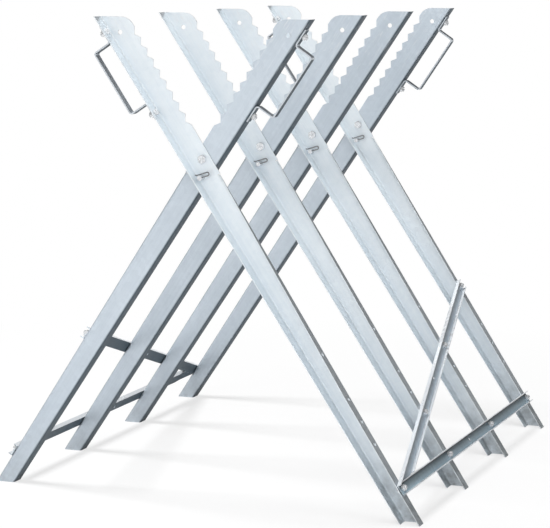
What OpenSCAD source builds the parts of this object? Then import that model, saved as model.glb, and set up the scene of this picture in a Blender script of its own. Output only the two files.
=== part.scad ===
// Folding log saw stand: two racks of four slanted sheet legs, hinged at four crossings.
// X runs across the stand, Y from the front frame to the rear frame, Z up from the floor.

/* [Stand] */
// Overall height
height = 800; // [760:5:840]
// Spacing of the four leg frames
frame_pitch = 264; // [230:2:300]
// Half the clear width between the feet
foot_inner = 351; // [335:1:365]
// Width of a foot along the floor
foot_width = 34; // [32:0.5:38]
// Half the width over the jaws at the top
jaw_outer = 184; // [174:1:194]
// Width of a jaw along its top edge, before its corner is rounded
jaw_width = 53; // [50:0.5:58]

/* [Leg sheet] */
// Thickness of the leg sheet
sheet = 1.5; // [1.2:0.1:2]
// Inside radius of the bends
bend = 2.5; // [1.5:0.1:3]
// Depth of the flanges over the sheet
flange = 24; // [22:0.5:28]
// Depth of the outer flange at its upper end
flange_lip = 4.8; // [4.6:0.1:6]
// Height over which the outer flange grows to its full depth
flange_taper = 348; // [300:5:380]
// Distance of the outer flange's upper end below the middle of the crossing
flange_start = 12; // [8:1:20]
// Width of the relief slot above the outer flange
relief = 1; // [1:0.5:4]
// Gap between the two webs at a crossing
web_gap = 0.4; // [0.3:0.05:0.8]

/* [Toothed jaw] */
// Number of notches along a jaw
tooth_count = 9; // [6:1:9]
// Spacing of the teeth
tooth_pitch = 20.8; // [18:0.2:22]
// Depth of the notches
tooth_depth = 7; // [4:0.5:9]
// Distance of the first tooth tip below the top edge
tooth_drop = 16; // [15:0.5:22]
// Radius of the rounded top corner of a jaw
corner_radius = 26; // [14:1:30]
// Diameter of the hole in each jaw
jaw_hole = 8; // [6:0.5:10]
// Distance of the jaw hole below the top edge
jaw_hole_drop = 25.5; // [22:0.5:30]
// Level distance of the jaw hole from the outer edge of the jaw
jaw_hole_inset = 20.5; // [18:0.5:24]

/* [Pivot] */
// Height of the pivot above the middle of the crossing
pivot_rise = 10.8; // [8:0.2:12]
// Diameter of the pivot bolts
pivot_d = 8; // [6:0.5:9]
// Radial running clearance of the pivot bolts
pivot_fit = 0.05; // [0.02:0.01:0.1]
// Width across flats of the pivot bolt heads and nuts
pivot_flats = 13; // [13:0.5:15]
// Height of the pivot bolt heads
pivot_head = 5.3; // [4:0.1:6.5]
// Height of the pivot lock nuts
pivot_nut = 8; // [6:0.5:9]
// Diameter of the pivot washers
washer_d = 16; // [15:0.5:18]
// Thickness of the pivot washers
washer_t = 1.6; // [1:0.1:2]
// Play between the pivot washers and the left legs
pivot_play = 0.3; // [0.2:0.05:0.5]

/* [Locking pins] */
// Distance of the locking pins below the pivot
pin_drop = 30; // [28:0.5:31]
// Diameter of the locking pins
pin_d = 8; // [7:0.5:9]
// Radial clearance of the locking pins in the webs
pin_fit = 0.05; // [0.02:0.01:0.1]
// Travel of a locking pin from drawn back to pushed home
pin_travel = 8; // [6:0.5:10]
// Gap between the tip of a drawn pin and the left leg
pin_tip_gap = 0.5; // [0.4:0.05:0.8]
// Length of a pin in front of its clip
pin_front = 4.5; // [3.5:0.5:6]
// Diameter of the clip wire
clip_wire = 2; // [2:0.1:3]
// Radial clearance of the clip wire in its pin
clip_fit = 0.05; // [0.02:0.01:0.1]
// Gap between a clip's outer leg and its pin
clip_gap = 0.75; // [0.4:0.05:1]
// Length of a clip from the pin axis to the start of its loop
clip_reach = 14; // [11:0.5:16]
// Length of the clip's straight end past the pin axis
clip_tail = 5.2; // [4.8:0.1:5.5]
// Gap between a clip and the right leg with its pin pushed home
clip_web_gap = 0.4; // [0.3:0.1:1]
// Upward slant of the clips
clip_slant = 18; // [10:1:24]

/* [Rails and braces] */
// Height of the rail bolts above the floor
rail_height = 55; // [50:1:65]
// Height step of the bolt holes in the outer flanges
hole_rise = 35; // [32:0.5:37]
// Width of the channel strips against the legs
strip_width = 20.5; // [19:0.5:24]
// Depth of the channel strips out from the legs
strip_lip = 8; // [7:0.5:12]
// Thickness of the channel strips
strip_t = 1.5; // [1.2:0.1:2]
// Distance of the rail ends from their last bolts
rail_end = 11.5; // [10:0.5:12]
// Distance of the brace ends from their last bolts
brace_end = 8; // [7:0.5:9]
// Diameter of the hole in the middle of each strip
mid_hole = 6; // [4:0.5:8]
// Clearance between the brace and the rail where they part
lap_gap = 1; // [0.5:0.1:2]
// Length over which the rail steps over the brace
lap_step = 30; // [20:1:40]

/* [Bolts] */
// Distance of the flange bolts from the back of the web
bolt_line = 12.5; // [11.5:0.5:14]
// Diameter of the flange bolts
bolt_d = 6; // [5:0.5:6.5]
// Radial clearance of the flange bolts in their holes
bolt_gap = 0.2; // [0.1:0.05:0.3]
// Width across flats of the flange bolt heads and nuts
bolt_flats = 10; // [9:0.5:11]
// Height of the flange bolt heads
bolt_head = 4; // [3:0.5:5]
// Height of the flange nuts
bolt_nut = 5; // [4:0.5:6]
// Radial clearance between a nut and its bolt
nut_fit = 0.05; // [0.02:0.01:0.1]
// Length of thread that stands out past each nut
bolt_tip = 3; // [1:0.5:5]

/* [Handles] */
// Length of a handle between the outsides of its two legs
handle_length = 120; // [105:1:125]
// Reach of a handle out from its jaw
handle_reach = 36; // [32:1:42]
// Width of the handle strip
handle_width = 15; // [12:0.5:16]
// Thickness of the handle strip
handle_t = 2.5; // [2:0.1:3]
// Inside radius of the handle bends
handle_bend = 3; // [2:0.5:4]
// Length of a handle's end tabs
handle_tab = 30; // [26:1:32]
// Distance of the tab bolts from the handle legs
handle_bolt = 18; // [16:0.5:20]
// Distance of a handle's upper end from the top of its jaw
handle_drop = 19; // [12:1:24]

/* [Hidden] */
$fn = 48;

// A little extra for cuts that pass right through
eps = 1;
frames = [1, 2, 3, 4];
handle_frames = [1, 4];
spare_steps = [0, 2, 3, 4, 6];
steps_per_frame = 2;

// Edge lines of a right leg: the inner line ends at the jaw's outer corner
foot_outer = foot_inner + foot_width;
inner_run = foot_inner + jaw_outer;
outer_run = foot_outer + jaw_outer - jaw_width;
inner_tilt = atan2(inner_run, height);
outer_tilt = atan2(outer_run, height);
inner_length = height / cos(inner_tilt);
outer_length = height / cos(outer_tilt);
bend_outside = sheet + bend;
web_inset = bend_outside + relief;
// Length of each straight edge that the jaw's round corner takes
corner_side = corner_radius * tan((90 - outer_tilt) / 2);

// Heights at the crossing
crossing_z = height * (foot_inner + foot_outer) / (inner_run + outer_run);
pivot_z = crossing_z + pivot_rise;
pin_z = pivot_z - pin_drop;
flange_end = (crossing_z - flange_start) / cos(outer_tilt);
flange_full = (crossing_z - flange_start - flange_taper) / cos(outer_tilt);

// Depths at a crossing, from its middle plane: webs, washer, nut and pin
web_face = web_gap / 2;
web_back = web_face + sheet;
washer_y = web_back + pivot_play;
nut_y = washer_y + washer_t;
pivot_end = nut_y + pivot_nut + bolt_tip;
pin_tip = pin_tip_gap - web_face;
clip_y = web_back + pin_travel + clip_web_gap + clip_wire / 2;
pin_end = clip_y + pin_front;
loop_r = (pin_d / 2 + clip_gap + clip_wire / 2) / 2;

// Slope distances along the outer flange
rail_s = rail_height / cos(outer_tilt);
step_s = hole_rise / cos(outer_tilt);
brace_tilt = atan2(steps_per_frame * step_s, frame_pitch);
brace_pitch = frame_pitch / cos(brace_tilt);
brace_length = (len(frames) - 1) * brace_pitch;
half_strip = strip_width / 2;
// Where the brace's lower lip clears the rail, and where the brace leaves the rail
lip_start = (half_strip * (1 + cos(brace_tilt)) + lap_gap) / sin(brace_tilt);
lap_length = half_strip * (1 + cos(brace_tilt)) / tan(brace_tilt) + half_strip * sin(brace_tilt) + lap_gap;

// Slope distances along the jaw
handle_top = inner_length - handle_drop - handle_tab;
handle_foot = handle_top - handle_length;
handle_bolts_at = [handle_foot - handle_bolt, handle_top + handle_bolt];

zinc = [0.80, 0.84, 0.88];
zinc_dark = [0.62, 0.66, 0.70];
bright = [0.86, 0.88, 0.90];

// Y of a frame's middle plane
function frame_y(i) = (i - (len(frames) + 1) / 2) * frame_pitch;

// A right leg's points in X and Z, from the slope distance and the depth in from an edge line
function inner_point(s, w) =
    [foot_inner - s * sin(inner_tilt) + w * cos(inner_tilt), s * cos(inner_tilt) + w * sin(inner_tilt)];
function outer_point(s, w) =
    [foot_outer - s * sin(outer_tilt) - w * cos(outer_tilt), s * cos(outer_tilt) - w * sin(outer_tilt)];

// Tips and notches down the jaw, tip first
first_tip = (height - tooth_drop) / cos(outer_tilt);
tooth_points = [
    for (k = [0 : 2 * tooth_count])
        outer_point(first_tip - k * tooth_pitch / 2, (k % 2) * tooth_depth)
];

// Frame of a right leg's inner edge: x into the leg, z up along the edge
module at_inner_edge() {
    translate([foot_inner, 0, 0])
        rotate([0, -inner_tilt, 0])
            children();
}

// Frame of a right leg's outer edge: x out of the leg, z up along the edge
module at_outer_edge() {
    translate([foot_outer, 0, 0])
        rotate([0, -outer_tilt, 0])
            children();
}

// Places a right leg's pieces at a frame, with the back of the web at its gap
module at_frame(i) {
    translate([0, frame_y(i) - web_face, 0])
        children();
}

// Turns the right rack's pieces into the left rack's
module turned() {
    rotate([0, 0, 180])
        children();
}

// Flange, bend and the strip of web beside it in section: the flange points to -y
module flange_section(depth) {
    translate([0, -depth])
        square([sheet, depth - bend_outside]);
    translate([bend_outside, -sheet])
        square([2 * relief, sheet]);
    intersection() {
        translate([0, -bend_outside])
            square(bend_outside);
        translate([bend_outside, -bend_outside])
            difference() {
                circle(r = bend_outside);
                circle(r = bend);
            }
    }
}

module web_plate() {
    corner_x = outer_point(outer_length, 0)[0];
    points = concat(
        [inner_point(-flange, web_inset), inner_point(inner_length, web_inset)],
        [[corner_x - corner_side, height], outer_point(outer_length - corner_side, 0)],
        tooth_points,
        [outer_point(flange_end + relief, 0), outer_point(flange_end + relief, web_inset)],
        [outer_point(-flange, web_inset)]
    );
    rotate([90, 0, 0])
        linear_extrude(sheet) {
            polygon(points);
            // Round top corner, from the top edge to the line of the tooth tips
            translate([corner_x - corner_side, height - corner_radius])
                intersection() {
                    circle(r = corner_radius, $fn = 96);
                    polygon([
                        [0, 0],
                        [0, 2 * corner_radius],
                        [2 * corner_radius, 2 * corner_radius],
                        2 * corner_radius * [cos(outer_tilt), sin(outer_tilt)]
                    ]);
                }
        }
}

module inner_flange() {
    at_inner_edge()
        translate([0, 0, -flange])
            linear_extrude(inner_length + 2 * flange)
                flange_section(flange);
}

// The outer flange stops below the crossing and tapers towards its upper end
module outer_flange() {
    at_outer_edge()
        difference() {
            mirror([1, 0, 0])
                translate([0, 0, -flange])
                    linear_extrude(flange_end + flange)
                        flange_section(flange);
            translate([-bend_outside - eps, 0, 0])
                rotate([90, 0, 90])
                    linear_extrude(bend_outside + 2 * eps)
                        polygon([
                            [-flange, flange_full],
                            [-flange_lip, flange_end],
                            [-flange_lip, flange_end + eps],
                            [-flange - eps, flange_end + eps],
                            [-flange - eps, flange_full]
                        ]);
        }
}

// Holes along Y through a web at X and Z
module web_hole(x, z, d) {
    translate([x, eps, z])
        rotate([90, 0, 0])
            cylinder(d = d, h = sheet + 2 * eps);
}

// Hole through a flange at a slope distance, for the edge frames
module flange_hole(s, d) {
    translate([-sheet - eps, -bolt_line, s])
        rotate([0, 90, 0])
            cylinder(d = d, h = 2 * sheet + 2 * eps);
}

// One right leg, with the back of its web at y = 0
module leg(has_handle) {
    jaw_hole_z = height - jaw_hole_drop;
    difference() {
        intersection() {
            union() {
                web_plate();
                inner_flange();
                outer_flange();
            }
            translate([-foot_outer, -flange - eps, 0])
                cube([2 * foot_outer, flange + 2 * eps, height]);
        }
        web_hole(0, pivot_z, pivot_d + 2 * pivot_fit);
        web_hole(0, pin_z, pin_d + 2 * pin_fit);
        web_hole(foot_inner - jaw_hole_z * tan(inner_tilt) + jaw_hole_inset, jaw_hole_z, jaw_hole);
        at_outer_edge()
            for (k = spare_steps)
                flange_hole(rail_s + k * step_s, bolt_d + 2 * bolt_gap);
        if (has_handle)
            at_inner_edge()
                for (s = handle_bolts_at)
                    flange_hole(s, bolt_d + 2 * bolt_gap);
    }
}

module placed_leg(i) {
    at_frame(i)
        leg(len(search(i, handle_frames)) > 0);
}

// Foot rail: a channel that lies on the flanges and steps over the brace's low end,
// with its front corner cut along the brace's upper lip
module foot_rail() {
    start = frame_y(1) - web_face - bolt_line;
    y_a = start - rail_end;
    y_1 = start + lap_length;
    y_2 = y_1 + lap_step;
    y_b = start + (len(frames) - 1) * frame_pitch + rail_end;
    under = [[strip_t, y_a], [strip_t, y_1], [0, y_2], [0, y_b]];
    over = [[strip_t, y_b], [strip_t, y_2], [2 * strip_t, y_1], [2 * strip_t, y_a]];
    at_outer_edge()
        difference() {
            union() {
                translate([0, 0, rail_s - half_strip])
                    linear_extrude(strip_width)
                        polygon(concat(under, over));
                for (s = [rail_s - half_strip, rail_s + half_strip - strip_t])
                    translate([0, 0, s])
                        linear_extrude(strip_t)
                            polygon(concat(under, [[strip_lip, y_b], [strip_lip, y_a]]));
            }
            translate([-eps, start, rail_s])
                rotate([brace_tilt, 0, 0])
                    translate([0, -lap_length, half_strip - strip_t - lap_gap])
                        cube([strip_lip + 2 * eps, 2 * lap_length, strip_width]);
            for (i = frames)
                translate([-eps, start + (i - 1) * frame_pitch, rail_s])
                    rotate([0, 90, 0])
                        cylinder(d = bolt_d + 2 * bolt_gap, h = 2 * strip_t + 2 * eps);
            translate([-eps, start + (len(frames) - 1) / 2 * frame_pitch, rail_s])
                rotate([0, 90, 0])
                    cylinder(d = mid_hole, h = 2 * strip_t + 2 * eps);
        }
}

// Diagonal brace: a channel from the rail bolt of leg 1 up to leg 4, its lower lip cut back at the rail
module diagonal_brace() {
    at_outer_edge()
        translate([0, frame_y(1) - web_face - bolt_line, rail_s])
            rotate([brace_tilt, 0, 0])
                difference() {
                    union() {
                        translate([0, -brace_end, -half_strip])
                            cube([strip_t, brace_length + 2 * brace_end, strip_width]);
                        translate([0, -brace_end, half_strip - strip_t])
                            cube([strip_lip, brace_length + 2 * brace_end, strip_t]);
                        translate([0, lip_start, -half_strip])
                            cube([strip_lip, brace_length + brace_end - lip_start, strip_t]);
                    }
                    for (i = frames)
                        translate([-eps, (i - 1) * brace_pitch, 0])
                            rotate([0, 90, 0])
                                cylinder(d = bolt_d + 2 * bolt_gap, h = strip_t + 2 * eps);
                    translate([-eps, brace_length / 2, 0])
                        rotate([0, 90, 0])
                            cylinder(d = mid_hole, h = strip_t + 2 * eps);
                }
}

// Hexagon along +z, measured across its flats
module hexagon(flats, h) {
    rotate([0, 0, 30])
        cylinder(d = flats / cos(30), h = h, $fn = 6);
}

// Flange bolt along +x: head under the sheet, thread out through the stack and its nut
module flange_bolt(stack) {
    rotate([0, 90, 0]) {
        translate([0, 0, -sheet - bolt_head])
            hexagon(bolt_flats, bolt_head);
        translate([0, 0, -sheet - eps])
            cylinder(d = bolt_d, h = sheet + eps + stack + bolt_nut + bolt_tip);
    }
}

module flange_nut(stack) {
    rotate([0, 90, 0])
        translate([0, 0, stack])
            difference() {
                hexagon(bolt_flats, bolt_nut);
                translate([0, 0, -eps])
                    cylinder(d = bolt_d + 2 * nut_fit, h = bolt_nut + 2 * eps);
            }
}

// Rail and brace bolt places on the right rack: the child takes its stack from $stack
module at_rail_bolts() {
    for (i = frames) {
        at_frame(i)
            at_outer_edge()
                translate([0, -bolt_line, rail_s]) {
                    $stack = (i == 1 ? 2 : 1) * strip_t;
                    children();
                }
        if (i > 1)
            at_frame(i)
                at_outer_edge()
                    translate([0, -bolt_line, rail_s + (i - 1) * steps_per_frame * step_s]) {
                        $stack = strip_t;
                        children();
                    }
    }
}

// Handle bolt places on the right rack, outwards along +x
module at_handle_bolts() {
    for (i = handle_frames)
        at_frame(i)
            at_inner_edge()
                for (s = handle_bolts_at)
                    translate([0, -bolt_line, s])
                        mirror([1, 0, 0])
                            children();
}

// Quarter of a bend in section, turned to start at an angle
module bend_section(start) {
    rotate(start)
        difference() {
            intersection() {
                circle(r = handle_bend + handle_t);
                square(handle_bend + handle_t);
            }
            circle(r = handle_bend);
        }
}

// Carrying handle: a strip bent four times, with a bolted tab at each end
module handle(i) {
    turn = handle_t + handle_bend;
    reach = handle_reach - 2 * turn;
    at_frame(i)
        at_inner_edge()
            mirror([1, 0, 0])
                difference() {
                    translate([0, handle_width / 2 - bolt_line, 0])
                        rotate([90, 0, 0])
                            linear_extrude(handle_width) {
                                translate([0, handle_foot - handle_tab])
                                    square([handle_t, handle_tab - handle_bend]);
                                translate([turn, handle_foot - handle_bend])
                                    bend_section(90);
                                translate([turn, handle_foot])
                                    square([reach, handle_t]);
                                translate([handle_reach - turn, handle_foot + turn])
                                    bend_section(270);
                                translate([handle_reach - handle_t, handle_foot + turn])
                                    square([handle_t, handle_length - 2 * turn]);
                                translate([handle_reach - turn, handle_top - turn])
                                    bend_section(0);
                                translate([turn, handle_top - handle_t])
                                    square([reach, handle_t]);
                                translate([turn, handle_top + handle_bend])
                                    bend_section(180);
                                translate([0, handle_top + handle_bend])
                                    square([handle_t, handle_tab - handle_bend]);
                            }
                    for (s = handle_bolts_at)
                        translate([-eps, -bolt_line, s])
                            rotate([0, 90, 0])
                                cylinder(d = bolt_d + 2 * bolt_gap, h = handle_t + 2 * eps);
                }
}

// Places along the pivot axis, looking from the front frame to the rear
module at_pivot(i) {
    translate([0, frame_y(i), pivot_z])
        rotate([-90, 0, 0])
            children();
}

module pivot_bolt() {
    translate([0, 0, -web_back - pivot_head])
        hexagon(pivot_flats, pivot_head);
    translate([0, 0, -web_back - eps])
        cylinder(d = pivot_d, h = web_back + eps + pivot_end);
}

module pivot_washer() {
    translate([0, 0, washer_y])
        difference() {
            cylinder(d = washer_d, h = washer_t);
            translate([0, 0, -eps])
                cylinder(d = pivot_d + 2 * bolt_gap, h = washer_t + 2 * eps);
        }
}

module pivot_lock_nut() {
    translate([0, 0, nut_y])
        difference() {
            hexagon(pivot_flats, pivot_nut);
            translate([0, 0, -eps])
                cylinder(d = pivot_d + 2 * nut_fit, h = pivot_nut + 2 * eps);
        }
}

// Places at a locking pin's axis, turned so that x follows its clip
module at_pin(i) {
    translate([0, frame_y(i), pin_z])
        rotate([0, -clip_slant, 0])
            children();
}

module lock_pin(i) {
    chamfer = pin_d / 8;
    at_pin(i)
        difference() {
            rotate([90, 0, 0]) {
                translate([0, 0, pin_tip + chamfer])
                    cylinder(d = pin_d, h = pin_end - pin_tip - chamfer);
                translate([0, 0, pin_tip])
                    cylinder(d1 = pin_d - 2 * chamfer, d2 = pin_d, h = chamfer);
            }
            translate([-pin_d, -clip_y, 0])
                rotate([0, 90, 0])
                    cylinder(d = clip_wire + 2 * clip_fit, h = 2 * pin_d);
        }
}

// Spring clip: a straight leg through the pin, a loop, and an outer leg with a flared end
module lock_clip(i) {
    flare = 40;
    flare_r = 2.5 * clip_wire;
    outer_end = pin_d / 2;
    at_pin(i)
        translate([0, -clip_y, 0]) {
            translate([-clip_tail, 0, 0])
                rotate([0, 90, 0])
                    cylinder(d = clip_wire, h = clip_tail + clip_reach);
            translate([clip_reach, 0, loop_r])
                rotate([90, 0, 0])
                    rotate([0, 0, -90])
                        rotate_extrude(angle = 180)
                            translate([loop_r, 0])
                                circle(d = clip_wire);
            translate([-outer_end, 0, 2 * loop_r])
                rotate([0, 90, 0])
                    cylinder(d = clip_wire, h = outer_end + clip_reach);
            translate([-outer_end, 0, 2 * loop_r + flare_r])
                rotate([90, 0, 0])
                    rotate([0, 0, -90])
                        rotate_extrude(angle = -flare)
                            translate([flare_r, 0])
                                circle(d = clip_wire);
        }
}

module right_leg_1() { color(zinc) placed_leg(1); }
module right_leg_2() { color(zinc) placed_leg(2); }
module right_leg_3() { color(zinc) placed_leg(3); }
module right_leg_4() { color(zinc) placed_leg(4); }
module left_leg_1() { color(zinc) turned() placed_leg(4); }
module left_leg_2() { color(zinc) turned() placed_leg(3); }
module left_leg_3() { color(zinc) turned() placed_leg(2); }
module left_leg_4() { color(zinc) turned() placed_leg(1); }
module right_foot_rail() { color(zinc_dark) foot_rail(); }
module left_foot_rail() { color(zinc_dark) turned() foot_rail(); }
module right_diagonal_brace() { color(zinc_dark) diagonal_brace(); }
module left_diagonal_brace() { color(zinc_dark) turned() diagonal_brace(); }
module handle_left_front() { color(zinc_dark) handle(1); }
module handle_left_rear() { color(zinc_dark) handle(4); }
module handle_right_front() { color(zinc_dark) turned() handle(4); }
module handle_right_rear() { color(zinc_dark) turned() handle(1); }
module pivot_bolts() { color(bright) for (i = frames) at_pivot(i) pivot_bolt(); }
module pivot_washers() { color(bright) for (i = frames) at_pivot(i) pivot_washer(); }
module pivot_nuts() { color(bright) for (i = frames) at_pivot(i) pivot_lock_nut(); }
module right_rail_bolts() { color(bright) at_rail_bolts() flange_bolt($stack); }
module right_rail_nuts() { color(bright) at_rail_bolts() flange_nut($stack); }
module left_rail_bolts() { color(bright) turned() at_rail_bolts() flange_bolt($stack); }
module left_rail_nuts() { color(bright) turned() at_rail_bolts() flange_nut($stack); }
module left_handle_bolts() { color(bright) at_handle_bolts() flange_bolt(handle_t); }
module left_handle_nuts() { color(bright) at_handle_bolts() flange_nut(handle_t); }
module right_handle_bolts() { color(bright) turned() at_handle_bolts() flange_bolt(handle_t); }
module right_handle_nuts() { color(bright) turned() at_handle_bolts() flange_nut(handle_t); }
module lock_pin_1() { color(bright) lock_pin(1); }
module lock_pin_2() { color(bright) lock_pin(2); }
module lock_pin_3() { color(bright) lock_pin(3); }
module lock_pin_4() { color(bright) lock_pin(4); }
module lock_clip_1() { color(zinc_dark) lock_clip(1); }
module lock_clip_2() { color(zinc_dark) lock_clip(2); }
module lock_clip_3() { color(zinc_dark) lock_clip(3); }
module lock_clip_4() { color(zinc_dark) lock_clip(4); }

right_leg_1();
right_leg_2();
right_leg_3();
right_leg_4();
left_leg_1();
left_leg_2();
left_leg_3();
left_leg_4();
right_foot_rail();
left_foot_rail();
right_diagonal_brace();
left_diagonal_brace();
handle_left_front();
handle_left_rear();
handle_right_front();
handle_right_rear();
pivot_bolts();
pivot_washers();
pivot_nuts();
right_rail_bolts();
right_rail_nuts();
left_rail_bolts();
left_rail_nuts();
left_handle_bolts();
left_handle_nuts();
right_handle_bolts();
right_handle_nuts();
lock_pin_1();
lock_pin_2();
lock_pin_3();
lock_pin_4();
lock_clip_1();
lock_clip_2();
lock_clip_3();
lock_clip_4();
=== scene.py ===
"""Looks of the folding saw stand.

Softened sheet pieces, threaded fasteners, finishes, studio and camera.
"""

import logging
import math
from collections.abc import Iterable
from dataclasses import dataclass
from enum import Enum
from typing import TypeVar

import bmesh
import bpy
from mathutils import Matrix, Vector


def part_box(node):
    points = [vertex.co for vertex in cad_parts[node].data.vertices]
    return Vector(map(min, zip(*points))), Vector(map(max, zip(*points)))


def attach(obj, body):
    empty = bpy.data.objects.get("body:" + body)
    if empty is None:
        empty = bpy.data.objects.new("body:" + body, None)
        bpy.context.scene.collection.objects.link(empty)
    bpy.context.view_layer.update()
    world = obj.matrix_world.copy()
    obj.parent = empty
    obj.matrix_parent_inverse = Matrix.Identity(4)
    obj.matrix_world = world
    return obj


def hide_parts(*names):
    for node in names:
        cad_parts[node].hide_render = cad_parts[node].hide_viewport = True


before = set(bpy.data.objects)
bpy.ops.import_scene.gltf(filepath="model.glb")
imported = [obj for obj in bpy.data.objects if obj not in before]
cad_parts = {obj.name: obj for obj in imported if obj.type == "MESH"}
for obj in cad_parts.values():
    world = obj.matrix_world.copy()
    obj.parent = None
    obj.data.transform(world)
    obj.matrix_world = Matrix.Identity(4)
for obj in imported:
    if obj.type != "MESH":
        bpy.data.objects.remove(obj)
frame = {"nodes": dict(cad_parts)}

LOG = logging.getLogger("saw_stand")
MM = 0.001
UP = Vector((0, 0, 1))
QUARTER_TURN = math.pi / 2

Triple = tuple[float, float, float]
Colour = Triple
Socket = bpy.types.NodeSocket
Reading = float | Colour | Socket
Material = bpy.types.Material
Mesh = bpy.types.Mesh
Parts = list[tuple[Mesh, Matrix]]
Vert = bmesh.types.BMVert
Edge = bmesh.types.BMEdge
Face = bmesh.types.BMFace
Element = TypeVar("Element", Vert, Edge, Face)


class Rack(Enum):
    """The two hinged halves, named for the side their feet stand on."""

    RIGHT = "right"
    LEFT = "left"

    @property
    def body(self) -> str:
        """Name of the body that carries the half."""
        return f"{self.value}_rack"

    @property
    def turn(self) -> Matrix:
        """Turn that brings a right half's place to this half."""
        return Matrix.Rotation(0.0 if self is Rack.RIGHT else math.pi, 4, "Z")

    @property
    def jaw_side(self) -> str:
        """Side of the stand on which the half's jaws and handles are."""
        return "left" if self is Rack.RIGHT else "right"

    @property
    def lit_and_shaded_tones(self) -> tuple[Colour, Colour]:
        """Tones of the half's leg sheet, painted lighter on the right half and darker on the left
        as lit and shaded copies of one coat.

        Returns:
            The pale tone and the dull one.
        """
        # painted light and shade: one coat, lighter on the right half's legs and darker on the
        # left's
        if self is Rack.RIGHT:
            return (0.90, 0.955, 0.99), (0.78, 0.855, 0.915)
        return (0.69, 0.765, 0.835), (0.56, 0.63, 0.70)

    @property
    def foot_grime_and_shade(self) -> float:
        """Most grime on the half's feet, heavier on the right half where it also paints shade."""
        return 0.85 if self is Rack.RIGHT else 0.40


class Slot(Enum):
    """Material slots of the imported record."""

    SHEET = "zinc_sheet"
    CHANNEL = "zinc_channel"
    STRIP = "zinc_strip"
    FASTENER = "bright_fastener"
    WIRE = "spring_wire"


class Source(Enum):
    """What a measure reads: a place on the piece, or the way its surface faces."""

    PLACE = "Object"
    NORMAL = "Normal"


class Op(Enum):
    """Ways to combine two readings."""

    ADD = "ADD"
    SUBTRACT = "SUBTRACT"
    MULTIPLY = "MULTIPLY"
    POWER = "POWER"
    MAXIMUM = "MAXIMUM"
    ABSOLUTE = "ABSOLUTE"


class Blend(Enum):
    """Ways to mix two colours."""

    MIX = "MIX"
    MULTIPLY = "MULTIPLY"


@dataclass(frozen=True)
class StandSizes:
    """Main sizes of the stand in metres, as the solids have them."""

    height: float = 800 * MM
    frame_pitch: float = 264 * MM
    foot_inner: float = 351 * MM
    foot_width: float = 34 * MM
    jaw_outer: float = 184 * MM
    jaw_width: float = 53 * MM
    sheet: float = 1.5 * MM
    web_gap: float = 0.4 * MM
    pivot_rise: float = 10.8 * MM
    pin_drop: float = 30 * MM
    rail_height: float = 55 * MM
    bolt_line: float = 12.5 * MM
    hole_rise: float = 35 * MM
    steps_per_frame: int = 2
    frames: int = 4

    @property
    def rows(self) -> range:
        """Numbers of the frames, from the front."""
        return range(1, self.frames + 1)

    @property
    def foot_outer(self) -> float:
        """Half width over the feet."""
        return self.foot_inner + self.foot_width

    @property
    def inner_run(self) -> float:
        """Level distance that a leg's inner edge covers."""
        return self.foot_inner + self.jaw_outer

    @property
    def outer_run(self) -> float:
        """Level distance that a leg's outer edge covers."""
        return self.foot_outer + self.jaw_outer - self.jaw_width

    @property
    def inner_tilt(self) -> float:
        """Lean of a leg's inner edge."""
        return math.atan2(self.inner_run, self.height)

    @property
    def outer_tilt(self) -> float:
        """Lean of a leg's outer edge."""
        return math.atan2(self.outer_run, self.height)

    @property
    def inner_length(self) -> float:
        """Length of a leg's inner edge."""
        return self.height / math.cos(self.inner_tilt)

    @property
    def pivot_z(self) -> float:
        """Height of the pivot bolts."""
        feet = self.foot_inner + self.foot_outer
        return self.height * feet / (self.inner_run + self.outer_run) + self.pivot_rise

    @property
    def web_back(self) -> float:
        """Distance of a web's far face from the middle plane of its frame."""
        return self.web_gap / 2 + self.sheet

    @property
    def rail_s(self) -> float:
        """Slope distance of the rail bolts from the floor."""
        return self.rail_height / math.cos(self.outer_tilt)

    @property
    def brace_step(self) -> float:
        """Slope distance that the brace climbs from frame to frame."""
        return self.steps_per_frame * self.hole_rise / math.cos(self.outer_tilt)

    @property
    def brace_run(self) -> Vector:
        """Direction of the right half's brace.

        Returns:
            A unit direction, from its low end to its high one.
        """
        tilt = math.atan2(self.brace_step, self.frame_pitch)
        lean, climb = self.outer_tilt, math.sin(tilt)
        return Vector((-math.sin(lean) * climb, math.cos(tilt), math.cos(lean) * climb))

    def frame_y(self, number: int) -> float:
        """Y of a frame's middle plane."""
        return (number - (self.frames + 1) / 2) * self.frame_pitch

    def edge(self, number: int, outer: bool) -> Matrix:
        """Frame of a right leg's edge line.

        Args:
            number: frame of the stand, from the front.
            outer: the outer edge line, or else the inner one.

        Returns:
            A matrix whose x points across the leg and whose z climbs the edge.
        """
        foot = self.foot_outer if outer else self.foot_inner
        tilt = self.outer_tilt if outer else self.inner_tilt
        place = Matrix.Translation((foot, self.frame_y(number) - self.web_gap / 2, 0))
        return place @ Matrix.Rotation(-tilt, 4, "Y")


@dataclass(frozen=True)
class Span:
    """Part of a reading's range, and the results at its two ends."""

    low: float
    high: float
    to_low: float = 0.0
    to_high: float = 1.0


@dataclass(frozen=True)
class Noise:
    """A cloudy noise: cells to the metre, octaves, and the weight of the finer ones."""

    scale: float
    detail: float = 2.0
    rough: float = 0.5


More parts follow.
